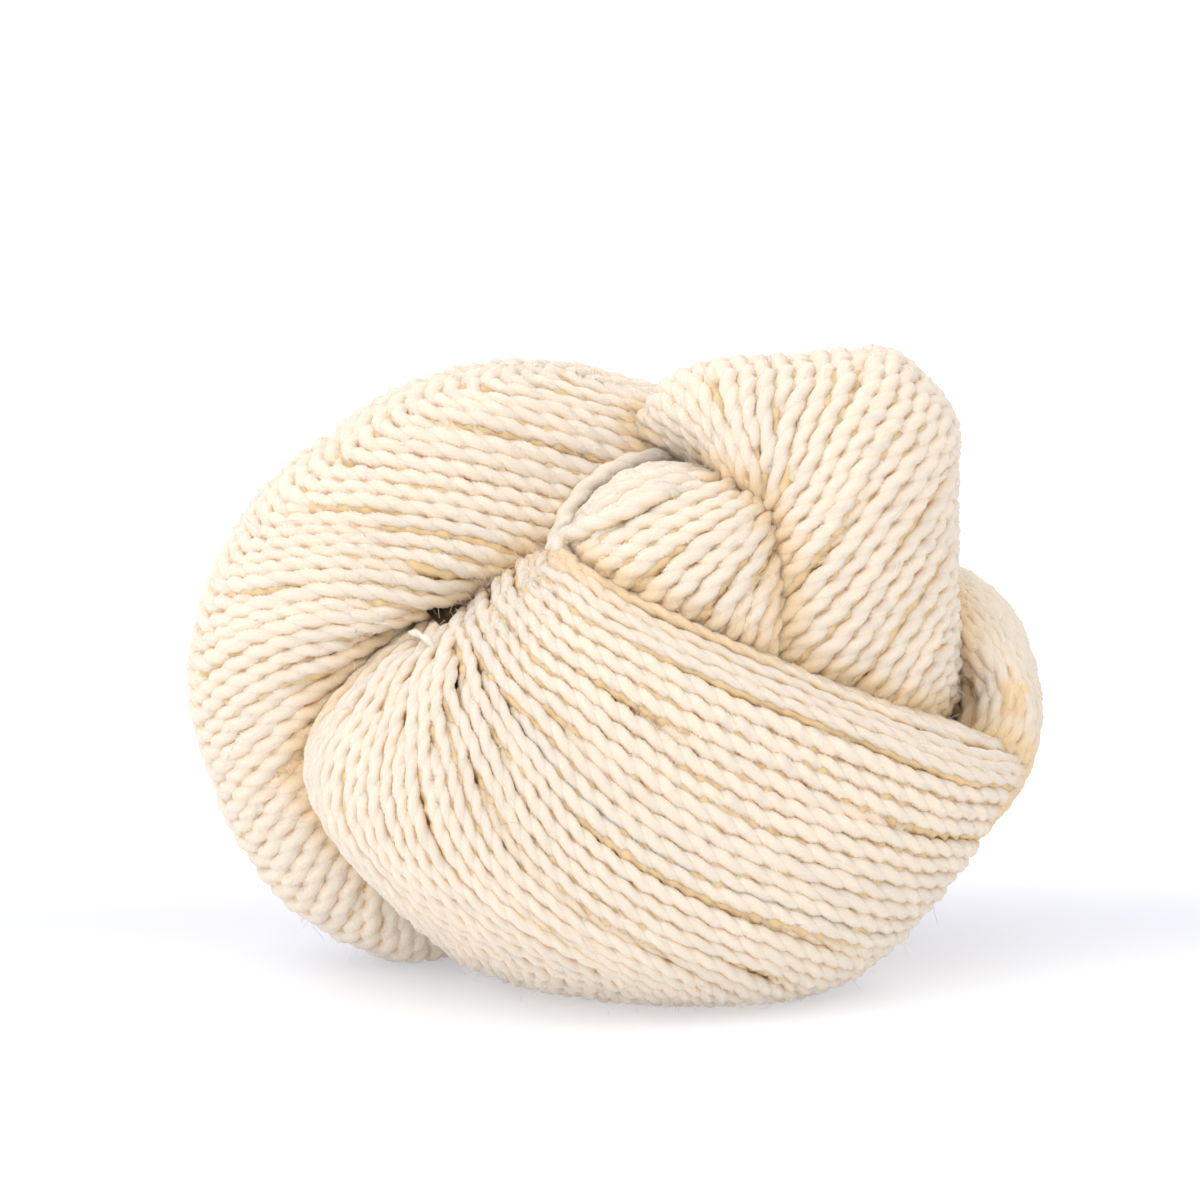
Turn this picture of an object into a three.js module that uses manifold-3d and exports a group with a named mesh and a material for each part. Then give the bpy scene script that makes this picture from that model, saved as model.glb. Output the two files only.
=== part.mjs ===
// A twisted hank of cream two-ply knitting wool, lying on its side with its ends tucked in.
// Millimetres, +Z up, +X to the right and -Y towards the viewer. The origin is on the surface
// that the hank rests on, under the middle of its bounding box.

import * as THREE from "three";
import { mergeVertices } from "three/addons/utils/BufferGeometryUtils.js";
import Module from "manifold-3d";

// Driving dimensions
const YARN_ACROSS = 2.2; // two-ply wool of double-knitting weight
const RIB_PITCH = 3 * YARN_ACROSS; // the turns lie in ribs of about three strands
const RIB_HEIGHT = 0.3; // each rib stands this far out of the lobe's mean form, and as far in
const ROUND_POINTS = 26; // points round each turn of a lobe
const BAND_STEPS = 28; // sections along the rear band
const RIB_REACH = 0.5; // the ribs rise to full height over this share of a turn's reach
const FINE_STEPS = 8; // trial sections between two rows of a table, to space the ribs by
const FULLNESS = 0.85; // under 1, a turn is a little squarer than an ellipse
const FRONT_SKEW = 0.6; // the turns of the front lobe bow most near their roots
const FLOOR_SIZE = 300;
const FLOOR_DEPTH = 40;

const TIE_ACROSS = 1.0;
const TIE_CLEAR = 0.3; // between the tie and the strands that it crosses
const TIE_SIDES = 8;
const TIE_STEPS = 14;
const TIE_TURN = 24; // degrees round the turns from their roots
const TIE_FROM_ROW = 10;
const TIE_TO_ROW = 8.2;

// Each row is one turn of yarn round a lobe, which leaves its root in the crease, stands out in
// front, turns round at its tip and comes back behind. Bow is how far its middle lies aside of
// the straight line from root to tip. A back below nothing lies in front of that line too.
const LEFT_LOBE = [
  { root: [20, 23, 71], tip: [-1, 14, 77], front: 1.5, back: 2, bow: 0.5 },
  { root: [21, 23, 67.5], tip: [-8.5, 13, 79.5], front: 6, back: 7, bow: 1.5 },
  { root: [22, 23, 64], tip: [-17, 12, 80], front: 9.5, back: 10, bow: 2 },
  { root: [22, 22, 60.5], tip: [-24.5, 10.5, 78.5], front: 12, back: 12, bow: 2.5 },
  { root: [20, 20, 57], tip: [-31.5, 9, 76], front: 13.5, back: 13, bow: 2.5 },
  { root: [14, 17, 54.5], tip: [-39.5, 7, 70.5], front: 15, back: 14, bow: 2.5 },
  { root: [3, 13, 53.5], tip: [-47.5, 5, 64], front: 17, back: 16, bow: 3 },
  { root: [-13, 5, 52.5], tip: [-53.5, 4, 55], front: 18, back: 18, bow: 3 },
  { root: [-19, 0, 50.5], tip: [-56.5, 3, 46], front: 18, back: 18, bow: 3 },
  { root: [-23, 0, 49.5], tip: [-57, 3, 36.5], front: 18, back: 18, bow: 2.5 },
  { root: [-27.5, 0, 46.5], tip: [-54.5, 3, 27], front: 17, back: 18, bow: 1.5 },
  { root: [-30.5, 1, 40.5], tip: [-51, 4, 18], front: 16, back: 17, bow: 0 },
  { root: [-31, 2, 32], tip: [-45, 5, 9.5], front: 14, back: 16, bow: -1 },
  { root: [-31.5, 3, 25], tip: [-38, 6, 4], front: 12, back: 15, bow: -2 },
  { root: [-29.5, 4, 19.5], tip: [-29.5, 7, 0], front: 9, back: 13, bow: -3 },
  { root: [-25.5, 5, 15], tip: [-22, 8, -1.5], front: 2, back: 4, bow: -3 },
];

const FRONT_LOBE = [
  { root: [-7.5, -12, 59.5], tip: [50.5, -4, 32.5], front: 13, back: -6, bow: 0.5 },
  { root: [-11, -10, 58], tip: [54, 0, 28], front: 20, back: 12, bow: 0.5 },
  { root: [-14.5, -9, 56], tip: [50.5, 0, 22.5], front: 24, back: 17, bow: 2 },
  { root: [-17, -8, 54], tip: [46.5, -1, 16.5], front: 27, back: 19, bow: 4.5 },
  { root: [-19, -8, 52.5], tip: [41.5, -3, 10.5], front: 29, back: 20, bow: 6.5 },
  { root: [-20, -8, 51.5], tip: [33.5, -6, 3], front: 30, back: 21, bow: 9 },
  { root: [-21, -8, 51], tip: [23, -8, -1], front: 30, back: 22, bow: 11 },
  { root: [-21.5, -8, 51], tip: [12, -10, -1.5], front: 29, back: 21, bow: 13 },
  { root: [-22, -7, 50.5], tip: [3, -10, -1.5], front: 27, back: 19, bow: 14.5 },
  { root: [-22.5, -6, 50.5], tip: [-6.5, -8, -1], front: 24, back: 15, bow: 16.5 },
  { root: [-23.5, -6, 50.5], tip: [-15, -6, 0.5], front: 19, back: 6, bow: 17.5 },
  { root: [-24.5, -6, 50.5], tip: [-20.5, -4, 2], front: 13, back: -6, bow: 17 },
];

const NUB = [
  { root: [18, -3, 54], tip: [2, 9, 70], front: 4, back: 3, bow: 4.5 },
  { root: [18, -3, 55], tip: [3.5, 8, 74.3], front: 11, back: 9, bow: 4.5 },
  { root: [18, -2.5, 56], tip: [7.5, 7, 79], front: 14, back: 12, bow: 3 },
  { root: [17.5, -2, 56], tip: [14, 6.5, 81.5], front: 15.5, back: 14, bow: 1.5 },
  { root: [16.5, -2, 55.5], tip: [21.5, 6, 82], front: 16, back: 15, bow: 0 },
  { root: [15.5, -2, 54], tip: [29, 5, 83], front: 17, back: 16, bow: 0 },
  { root: [14.5, -2, 50.5], tip: [36, 4, 83.5], front: 18, back: 17, bow: 0.5 },
  { root: [14, -2, 45], tip: [41, 4, 79.5], front: 19, back: 18, bow: 0.5 },
  { root: [13, -2, 38.5], tip: [44.5, 4, 75], front: 19, back: 18, bow: 0.5 },
  { root: [15.5, -1, 31.5], tip: [45, 5, 67], front: 19, back: 18, bow: 0.5 },
  { root: [22, 0, 28], tip: [45, 6, 58.5], front: 18, back: 17, bow: 0 },
  { root: [28.5, 1, 25], tip: [45, 7, 50.5], front: 17, back: 15, bow: 0 },
  { root: [31.5, 3, 23], tip: [45.5, 8, 42], front: 14, back: 12, bow: 0 },
  { root: [33, 5, 23.5], tip: [46.5, 9, 35], front: 6, back: 5, bow: 0 },
];

const SMALL_LOOP = [
  { root: [11, -4, 69], tip: [-5.5, -8, 62], front: 3.5, back: 4, bow: 3 },
  { root: [14.5, -5, 68], tip: [-7.5, -10, 57], front: 10, back: 12, bow: 2 },
  { root: [17.5, -6, 67], tip: [-2.5, -10, 50], front: 13, back: 16, bow: 1 },
  { root: [20, -6, 65], tip: [5, -10, 45], front: 13.5, back: 18, bow: 0 },
  { root: [21.5, -5.5, 61.5], tip: [12, -9, 41.5], front: 13.5, back: 16, bow: 0 },
  { root: [23, -5, 56.5], tip: [17.5, -7, 38], front: 12.5, back: 8, bow: 0 },
  { root: [23.5, -4, 49.5], tip: [22, -5, 36.5], front: 8, back: 3, bow: 0 },
];

// Each row is a section of the band that leaves the front lobe at the right, turns round behind
// the nub and dives under the left lobe: its middle, half its height, half its depth, and how
// far its strands have twisted, in degrees.
const REAR_BAND = [
  { middle: [24, -4, 14.5], high: 3, deep: 4, twist: 0 },
  { middle: [37, -1, 18], high: 6, deep: 8, twist: 0 },
  { middle: [47, 3, 25.5], high: 6.5, deep: 10.5, twist: 0 },
  { middle: [51, 8, 33.5], high: 6, deep: 12, twist: 0 },
  { middle: [48, 14, 41], high: 7, deep: 13.5, twist: -5 },
  { middle: [40, 19.5, 43], high: 10, deep: 15, twist: -15 },
  { middle: [29, 22, 38], high: 15, deep: 16, twist: -32 },
  { middle: [16, 23, 31], high: 20, deep: 15, twist: -60 },
  { middle: [1, 20, 28], high: 23, deep: 14, twist: -95 },
  { middle: [-13, 13, 29], high: 20, deep: 12, twist: -125 },
  { middle: [-25, 6, 32], high: 10, deep: 7, twist: -145 },
];

// The value at a place between the rows of a table, on a smooth curve through them
function between(rows, at, read) {
  const last = rows.length - 1;
  const row = Math.min(Math.floor(at), last - 1);
  const f = at - row;
  const value = (k) => read(rows[THREE.MathUtils.clamp(k, 0, last)]);
  const [before, here, next, after] = [value(row - 1), value(row), value(row + 1), value(row + 2)];
  const slope = next - before;
  const bend = 2 * before - 5 * here + 4 * next - after;
  const rest = 3 * here - before - 3 * next + after;
  return 0.5 * (2 * here + slope * f + bend * f * f + rest * f * f * f);
}

function pointBetween(rows, at, read) {
  return new THREE.Vector3(...[0, 1, 2].map((axis) => between(rows, at, (r) => read(r)[axis])));
}

// The unit direction nearest to the viewer's that is square to a line
function facing(line, towards) {
  return towards.clone().addScaledVector(line, -towards.dot(line)).normalize();
}

const fuller = (x) => Math.sign(x) * Math.abs(x) ** FULLNESS;
const reachAt = (angle) => (1 - fuller(Math.cos(angle))) / 2;

// A point of a lobe, at a place between rows and an angle round the turn, moved out by a lift
function turnPoint(rows, at, angle, lift, skew) {
  const root = pointBetween(rows, at, (r) => r.root);
  const tip = pointBetween(rows, at, (r) => r.tip);
  const chord = tip.clone().sub(root);
  const along = chord.clone().normalize();
  const out = facing(along, new THREE.Vector3(0, -1, 0));
  const aside = along.clone().cross(out);
  const reach = reachAt(angle);
  const stand = fuller(Math.sin(angle)) * between(rows, at, (r) => (angle < Math.PI ? r.front : r.back));
  const bow = between(rows, at, (r) => r.bow) * 4 * reach * (1 - reach) * (1 + skew * (1 - 2 * reach));
  return root
    .addScaledVector(chord, reach)
    .addScaledVector(out, stand + lift * Math.sin(angle))
    .addScaledVector(aside, bow)
    .addScaledVector(along, -lift * Math.cos(angle));
}

// A closed turn, raised or sunk as part of a rib that fades out towards the root
function turnRing(rows, at, rib, skew) {
  return Array.from({ length: ROUND_POINTS }, (_, k) => {
    const angle = (2 * Math.PI * k) / ROUND_POINTS;
    const lift = rib * THREE.MathUtils.smoothstep(reachAt(angle), 0, RIB_REACH);
    return turnPoint(rows, at, angle, lift, skew);
  });
}

// Places between the rows that lie half a rib apart where the lobe is widest
function ribPlaces(rows, skew) {
  const trials = FINE_STEPS * (rows.length - 1);
  const travelled = [0];
  let previous = turnRing(rows, 0, 0, skew);
  for (let k = 1; k <= trials; k++) {
    const ring = turnRing(rows, k / FINE_STEPS, 0, skew);
    const widest = Math.max(...ring.map((p, i) => p.distanceTo(previous[i])));
    travelled.push(travelled[k - 1] + widest);
    previous = ring;
  }
  const steps = 2 * Math.round(travelled[trials] / RIB_PITCH);
  const places = [];
  let k = 0;
  for (let step = 0; step <= steps; step++) {
    const wanted = (travelled[trials] * step) / steps;
    while (k < trials - 1 && travelled[k + 1] < wanted) k++;
    const part = (wanted - travelled[k]) / (travelled[k + 1] - travelled[k]);
    places.push((k + part) / FINE_STEPS);
  }
  return places;
}

// A closed body through rings of points, each end closed by strips between its two sides
function closedLoft(rings) {
  const n = rings[0].length;
  const points = rings.flat();
  const faces = [];
  const quad = (a, b, c, d) => faces.push(a, b, c, a, c, d);
  for (let i = 0; i < rings.length - 1; i++) {
    for (let k = 0; k < n; k++) {
      const next = (k + 1) % n;
      quad(i * n + k, i * n + next, (i + 1) * n + next, (i + 1) * n + k);
    }
  }
  const endStrips = (first, turned) => {
    for (let k = 0; k < n / 2; k++) {
      const strip = [k, k + 1, (n - k - 1) % n, (n - k) % n].map((p) => first + p);
      const corners = strip.filter((p, i) => strip.indexOf(p) === i);
      if (turned) corners.reverse();
      if (corners.length === 4) quad(...corners);
      else faces.push(...corners);
    }
  };
  endStrips(0, true);
  endStrips((rings.length - 1) * n, false);
  return { points, faces };
}

function signedVolume({ points, faces }) {
  let sum = 0;
  for (let k = 0; k < faces.length; k += 3) {
    const [a, b, c] = [points[faces[k]], points[faces[k + 1]], points[faces[k + 2]]];
    sum += a.dot(b.clone().cross(c));
  }
  return sum / 6;
}

const wasm = await Module();
wasm.setup();

function solidOf(body) {
  const faces = signedVolume(body) > 0 ? body.faces : body.faces.slice().reverse();
  const vertProperties = new Float32Array(body.points.flatMap((p) => p.toArray()));
  return new wasm.Manifold(new wasm.Mesh({ numProp: 3, vertProperties, triVerts: new Uint32Array(faces) }));
}

function solidOfGeometry(geometry) {
  const bare = geometry.clone();
  bare.deleteAttribute("normal");
  bare.deleteAttribute("uv");
  const merged = mergeVertices(bare);
  return new wasm.Manifold(new wasm.Mesh({
    numProp: 3,
    vertProperties: new Float32Array(merged.attributes.position.array),
    triVerts: new Uint32Array(merged.index.array),
  }));
}

function geometryOf(solid) {
  const mesh = solid.getMesh();
  const geometry = new THREE.BufferGeometry();
  geometry.setAttribute("position", new THREE.BufferAttribute(new Float32Array(mesh.vertProperties), 3));
  geometry.setIndex(new THREE.BufferAttribute(new Uint32Array(mesh.triVerts), 1));
  geometry.computeVertexNormals();
  return geometry;
}

// A lobe whose ribs follow its turns: every other ring stands out, and the end rings lie level
function lobe(rows, skew = 0) {
  const places = ribPlaces(rows, skew);
  const rings = places.map((at, i) => {
    const end = i === 0 || i === places.length - 1;
    const rib = end ? 0 : RIB_HEIGHT * (i % 2 ? 1 : -1);
    return turnRing(rows, at, rib, skew);
  });
  return solidOf(closedLoft(rings));
}

// The rear band, whose ribs run along it with its strands
function rearBand() {
  const last = REAR_BAND.length - 1;
  const away = new THREE.Vector3(0, 1, 0);
  const rings = Array.from({ length: BAND_STEPS + 1 }, (_, step) => {
    const at = (last * step) / BAND_STEPS;
    const middle = pointBetween(REAR_BAND, at, (r) => r.middle);
    const nearby = 0.05;
    const ahead = pointBetween(REAR_BAND, Math.min(at + nearby, last), (r) => r.middle);
    const behind = pointBetween(REAR_BAND, Math.max(at - nearby, 0), (r) => r.middle);
    const along = ahead.sub(behind).normalize();
    const inward = facing(along, away);
    const upward = along.clone().cross(inward);
    const high = between(REAR_BAND, at, (r) => r.high);
    const deep = between(REAR_BAND, at, (r) => r.deep);
    const twist = THREE.MathUtils.degToRad(between(REAR_BAND, at, (r) => r.twist));
    return Array.from({ length: ROUND_POINTS }, (_, k) => {
      const angle = (2 * Math.PI * k) / ROUND_POINTS + twist;
      const lift = RIB_HEIGHT * (k % 2 ? 1 : -1);
      return middle
        .clone()
        .addScaledVector(upward, (high + lift) * Math.cos(angle))
        .addScaledVector(inward, (deep + lift) * Math.sin(angle));
    });
  });
  return solidOf(closedLoft(rings));
}

function hank() {
  const floor = new THREE.BoxGeometry(FLOOR_SIZE, FLOOR_SIZE, FLOOR_DEPTH);
  floor.translate(0, 0, -FLOOR_DEPTH / 2);
  const wound = [lobe(FRONT_LOBE, FRONT_SKEW), lobe(NUB), lobe(SMALL_LOOP), rearBand()]
    .reduce((whole, next) => whole.add(next), lobe(LEFT_LOBE))
    .subtract(solidOfGeometry(floor));
  return geometryOf(wound);
}

// The tie crosses the strands at the left of the front lobe, a little above them
function tie() {
  const lift = TIE_CLEAR + RIB_HEIGHT + TIE_ACROSS / 2;
  const path = Array.from({ length: TIE_STEPS + 1 }, (_, step) => {
    const row = THREE.MathUtils.lerp(TIE_FROM_ROW, TIE_TO_ROW, step / TIE_STEPS);
    return turnPoint(FRONT_LOBE, row, THREE.MathUtils.degToRad(TIE_TURN), lift, FRONT_SKEW);
  });
  const section = new THREE.Shape();
  section.setFromPoints(Array.from({ length: TIE_SIDES }, (_, k) => {
    const angle = (2 * Math.PI * k) / TIE_SIDES;
    return new THREE.Vector2(Math.cos(angle), Math.sin(angle)).multiplyScalar(TIE_ACROSS / 2);
  }));
  return new THREE.ExtrudeGeometry(section, {
    steps: TIE_STEPS,
    extrudePath: new THREE.CatmullRomCurve3(path),
  });
}

function piece(name, geometry, color) {
  const material = new THREE.MeshStandardMaterial({ color, roughness: 0.95, metalness: 0 });
  const mesh = new THREE.Mesh(geometry, material);
  mesh.name = name;
  return mesh;
}

const yarn = new THREE.Group();
yarn.add(piece("hank", hank(), 0xf1e6cf));
yarn.add(piece("tie", tie(), 0xf6efdf));

export default yarn;
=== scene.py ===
import math

import bmesh
import bpy
import numpy as np
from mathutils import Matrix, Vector
from mathutils.bvhtree import BVHTree


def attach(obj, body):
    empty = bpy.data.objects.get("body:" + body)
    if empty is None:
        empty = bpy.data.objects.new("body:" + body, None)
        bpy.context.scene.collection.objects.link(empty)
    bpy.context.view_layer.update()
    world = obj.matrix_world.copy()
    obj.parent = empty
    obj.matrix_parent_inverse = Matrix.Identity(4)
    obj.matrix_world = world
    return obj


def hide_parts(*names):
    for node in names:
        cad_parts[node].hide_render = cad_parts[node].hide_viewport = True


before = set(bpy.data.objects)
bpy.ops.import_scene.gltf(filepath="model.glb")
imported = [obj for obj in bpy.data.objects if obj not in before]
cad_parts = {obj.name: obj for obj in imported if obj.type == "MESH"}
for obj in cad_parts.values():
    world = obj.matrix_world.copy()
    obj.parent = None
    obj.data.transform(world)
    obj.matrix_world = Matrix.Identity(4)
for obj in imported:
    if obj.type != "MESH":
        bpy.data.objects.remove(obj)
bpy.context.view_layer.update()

# A twisted hank of cream two-ply wool. Its forms are tables of turns of yarn. The strands are laid
# over those forms side by side, and Geometry Nodes spin each one from two plies. Forms and strands
# are in millimetres until they become meshes, and the camera, light and floor are in metres.

MM = 0.001
SEED = 11

# Each kind of yarn: the steps along its path, the sides of its section, the radius of its plies and
# how far their middles lie from its own
YARNS = {
    "strand": {"step": 0.75, "sides": 12, "ply_radius": 1.10, "ply_offset": 0.375},
    "below": {"step": 2.4, "sides": 5, "ply_radius": 1.35, "ply_offset": 0.0},
    "tie": {"step": 0.375, "sides": 12, "ply_radius": 0.34, "ply_offset": 0.2},
    "fibre": {"step": 9.0, "sides": 3, "ply_radius": 0.03, "ply_offset": 0.0},
}
FEWEST_STEPS = 3  # of any path
PIECE_TRIANGLES = 190000  # at most in a piece

# How a strand is spun, with its chance differences from the next one
PLY_TURN = 7.0  # along the strand, for a full turn of its two plies
TURN_CHANCE = (0.9, 1.12)  # shares of that
TURN_DRIFT = 0.08  # turns
THICK_DRIFT = 0.12  # a share of its thickness
DRIFT = 0.3  # of its path
DRIFT_WAVES = (12.0, 31.0, 70.0)  # a drift adds up waves as long as these
LEAST_WAVE = 0.4  # the height of the lowest, where the highest has 1
GRAIN_LENGTH = 500  # its fine streaks start at a chance place along so much of them

# How the strands lie
STRAND_ACROSS = 2.4
STRAND_SPACING = 2.42  # between the middles of neighbours
LOOSER = 1.13  # wider, and further apart, where they aren't pulled straight as on the front lobe
SPREAD_REACH = 3  # columns of a form whose widths are taken together
SQUEEZE = 0.72  # how thin a strand may grow where a form narrows
SINK_DEPTH = 2.8  # a strand that finds no room at the outside sinks by this much
SINK_SOFTNESS = 0.22  # how gradually: at 0 it would sink all at once
SINK_CHANCE = 0.06  # in the order in which strands sink
SINK_LEVELS = 400
LEAST_RAISED = 0.01  # a strand stops where it is raised less than this
SHORTEST_SHOWN = 2  # times as long as a strand is thick
HELD_DEPTH = 0.3  # a strand's middle shows only this far inside its own form
HIDDEN_DEPTH = 2.3  # strands stop this far inside another form
CREASE_REACH = 5.0  # so near another form, the wool takes painted shade, as warm as if it had sunk by the crease shade
CREASE_SHADE = 2.2

# What lies below them
UNDER_DEPTH = 0.6  # how much deeper the second layer lies
UNDER_EDGE = 2  # how many strands fewer it has at each side of a form
UNDER_RAISED = 0.5  # it lies only where the outer strands are raised more than this
CORE_DEPTH = 4.6
CORE_SHARE = 0.45  # of the way through a thin part, at most
CORE_COVER = 2.4  # the core keeps this far below the wound form
CORE_MERGE = 0.01  # points of the wound form nearer than this become one
CORE_FOOT = 0.2  # the way through is measured from this far below the skin

# The forms
FULLNESS = 0.85  # of a turn's outline: 1 gives an ellipse and less a fuller shape
FRONT_SKEW = 0.6  # how much nearer the root the front lobe's turns bow
ALONG = 360  # points along each turn
ACROSS = 240  # points from the first turn to the last
CAP = 12  # rows of points that close a lobe at its first turn, and at its last
TREE_STEP = 6  # every sixth point is enough to find places by
OUTLOOKS = (Vector((0, -1, 0)), Vector((0, 0, 1)), Vector((1, 0, 0)))  # ways to look out of a form

# The view
CAMERA_DISTANCE = 0.9
CAMERA_TILT = math.radians(10)
CAMERA_AWAY = Vector((0, -math.cos(CAMERA_TILT), math.sin(CAMERA_TILT)))
CAMERA_UP = Vector((0, math.sin(CAMERA_TILT), math.cos(CAMERA_TILT)))
CAMERA_AIM = Vector((-0.00243, 0.002, 0.04985))
FIELD_ACROSS = 0.16
PHOTO_SIDE = 1200  # pixels
SENSOR = 36.0

# The studio
DARK_SIDE = 0.54  # how bright it is on its darkest and lightest sides
LIGHT_SIDE = 1.28
LIGHT_FROM = (-0.55, 0.15, 0.82)
LIGHT_FADE = (-0.9, 0.7)  # from fully dark to fully light, along that direction
LAMP_PLACE = (-0.45, -0.35, 0.65)
LAMP_ACROSS = 0.5
LAMP_POWER = 1.0
FLOOR_REACH = 6.0
FLOOR_ROUGHNESS = 0.6
FLOOR_GLOW = 0.6  # it glows with its own colour, a painted light that lifts the shadows on it and lights the hank from below
BAND_MIDDLE = 0.03  # of a cool band across the floor
BAND_REACH = 0.06

# The finishes
PROUD_WOOL = (0.808, 0.74, 0.67)
# Painted shade in the groove between a strand's two plies
GROOVE_SHADE = (0.79, 0.665, 0.51)
# Painted shade at a strand's sides, where it faces its neighbours across the gaps
SIDE_SHADE = (0.84, 0.66, 0.41)
# Painted shade, multiplied in where strands have sunk and in creases between forms
SUNK_SHADE = (1.0, 0.86, 0.63)
STREAK_TINT = (0.965, 0.935, 0.88)
SHADED_WOOL = (0.88, 0.64, 0.35)
# Painted shade for the core below the strands, dark gold as the shade deep inside the hank
SHADED_CORE = (0.85, 0.62, 0.34)
FINE_FIBRES = (0.97, 0.91, 0.80)
TIE_COTTON = (0.86, 0.78, 0.66)
PALE_FLOOR = (0.65, 0.655, 0.67)
COOL_FLOOR = (0.50, 0.505, 0.545)
GROOVE = (1.03, 1.17)  # how far from the strand's middle the plies' groove, with its painted shade, begins and ends
SINKING = (0.3, 2.2)  # how deep the wool has sunk where painted shade starts, and where it is deepest
SIDES = (-0.2, 0.5)  # how squarely the wool faces out at a strand's side, with full painted shade, and at its top, with none
STREAKS = (0.58, 0.42)  # the noise where there is none of a streak, and all of it
STREAK_FINENESS = (5.0, 5.0, 0.7)  # both ways across the strand, and along it
STREAK_DEPTH = 0.25

# The tie crosses the strands at the left of the front lobe
TIE_TURN = 24  # degrees round the turns from their roots
TIE_FROM_ROW = 10.2
TIE_TO_ROW = 8.0
TIE_POINTS = 30
TIE_LIFT = 0.9  # of its middle above the strands' tops
TIE_TUCK = 1.0  # how deep its ends go
TIE_END = 0.4  # the outer share of each half, which bends down

# Loose fibres
FIBRE_COUNT = 6400
FIBRE_POINTS = 4
FIBRE_LENGTHS = (1.0, 3.2)
FIBRE_FOOT = 0.42  # of a strand's thickness, from its middle
FIBRE_SIDE = 0.5  # how far round the strand from its top they start
FIBRE_RISE = (-0.1, 0.55)  # how steeply they stand off it
FIBRE_STRAY = 0.45  # how far they turn from that, by chance
FIBRE_CURL = 0.45
FIBRE_DROOP = 0.15  # how much they bend back to the strand
RIM_FIBRES = 250  # more of them stand round the rim of the pinch
RIM_PLACE = (-14, -16, 54)
RIM_REACH = 9

# Two strands that lie loose over the left of the small loop, by the photograph's pixels
LOOSE_STRANDS = {
    "upper": [
        {"across": 553, "down": 556},
        {"across": 560, "down": 530},
        {"across": 574, "down": 502},
        {"across": 600, "down": 477},
        {"across": 640, "down": 460},
        {"across": 682, "down": 458},
    ],
    "lower": [
        {"across": 556, "down": 556},
        {"across": 572, "down": 538},
        {"across": 602, "down": 524},
        {"across": 640, "down": 508},
        {"across": 678, "down": 486},
    ],
}
LOOSE_POINTS = 60
LOOSE_SMOOTHING = 12
LOOSE_LIFT = 0.5
LOOSE_TUCK = 2.5  # how deep their ends go
LOOSE_END = 0.25  # the outer share of each half, which bends down

# Each row is one turn of yarn round a lobe, which leaves its root in the crease, stands out in
# front, turns round at its tip and comes back behind. Bow is how far its middle lies aside of the
# straight line from root to tip.
LEFT_LOBE = [
    {"root": (20, 23, 71), "tip": (-1, 14, 77), "front": 1.5, "back": 2, "bow": 0.5},
    {"root": (21, 23, 67.5), "tip": (-8.5, 13, 79.5), "front": 6, "back": 7, "bow": 1.5},
    {"root": (22, 23, 64), "tip": (-17, 12, 80), "front": 9.5, "back": 10, "bow": 2},
    {"root": (22, 22, 60.5), "tip": (-24.5, 10.5, 78.5), "front": 12, "back": 12, "bow": 2.5},
    {"root": (20, 20, 57), "tip": (-31.5, 9, 76), "front": 13.5, "back": 13, "bow": 2.5},
    {"root": (14, 17, 54.5), "tip": (-39.5, 7, 70.5), "front": 15, "back": 14, "bow": 2.5},
    {"root": (3, 13, 53.5), "tip": (-47.5, 5, 64), "front": 17, "back": 16, "bow": 3},
    {"root": (-13, 5, 52.5), "tip": (-53.5, 4, 55), "front": 18, "back": 18, "bow": 3},
    {"root": (-19, 0, 50.5), "tip": (-56.5, 3, 46), "front": 18, "back": 18, "bow": 3},
    {"root": (-23, 0, 49.5), "tip": (-57, 3, 36.5), "front": 18, "back": 18, "bow": 2.5},
    {"root": (-27.5, 0, 46.5), "tip": (-54.5, 3, 27), "front": 17, "back": 18, "bow": 1.5},
    {"root": (-30.5, 1, 40.5), "tip": (-51, 4, 18), "front": 16, "back": 17, "bow": 0},
    {"root": (-31, 2, 32), "tip": (-45, 5, 9.5), "front": 14, "back": 16, "bow": -1},
    {"root": (-31.5, 3, 25), "tip": (-38, 6, 4), "front": 12, "back": 15, "bow": -2},
    {"root": (-29.5, 4, 19.5), "tip": (-29.5, 7, 0), "front": 9, "back": 13, "bow": -3},
    {"root": (-25.5, 5, 15), "tip": (-22, 8, -1.5), "front": 2, "back": 4, "bow": -3},
]

FRONT_LOBE = [
    {"root": (-7.5, -12, 59.5), "tip": (50.5, -4, 32.5), "front": 13, "back": -6, "bow": 0.5},
    {"root": (-11, -10, 58), "tip": (54, 0, 28), "front": 20, "back": 12, "bow": 0.5},
    {"root": (-14.5, -9, 56), "tip": (50.5, 0, 22.5), "front": 24, "back": 17, "bow": 2},
    {"root": (-17, -8, 54), "tip": (46.5, -1, 16.5), "front": 27, "back": 19, "bow": 4.5},
    {"root": (-19, -8, 52.5), "tip": (41.5, -3, 10.5), "front": 29, "back": 20, "bow": 6.5},
    {"root": (-20, -8, 51.5), "tip": (33.5, -6, 3), "front": 30, "back": 21, "bow": 9},
    {"root": (-21, -8, 51), "tip": (23, -8, -1), "front": 30, "back": 22, "bow": 11},
    {"root": (-21.5, -8, 51), "tip": (12, -10, -1.5), "front": 29, "back": 21, "bow": 13},
    {"root": (-22, -7, 50.5), "tip": (3, -10, -1.5), "front": 27, "back": 19, "bow": 14.5},
    {"root": (-22.5, -6, 50.5), "tip": (-6.5, -8, -1), "front": 24, "back": 15, "bow": 16.5},
    {"root": (-23.5, -6, 50.5), "tip": (-15, -6, 0.5), "front": 19, "back": 6, "bow": 17.5},
    {"root": (-24.5, -6, 50.5), "tip": (-20.5, -4, 2), "front": 13, "back": -6, "bow": 17},
]

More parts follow.
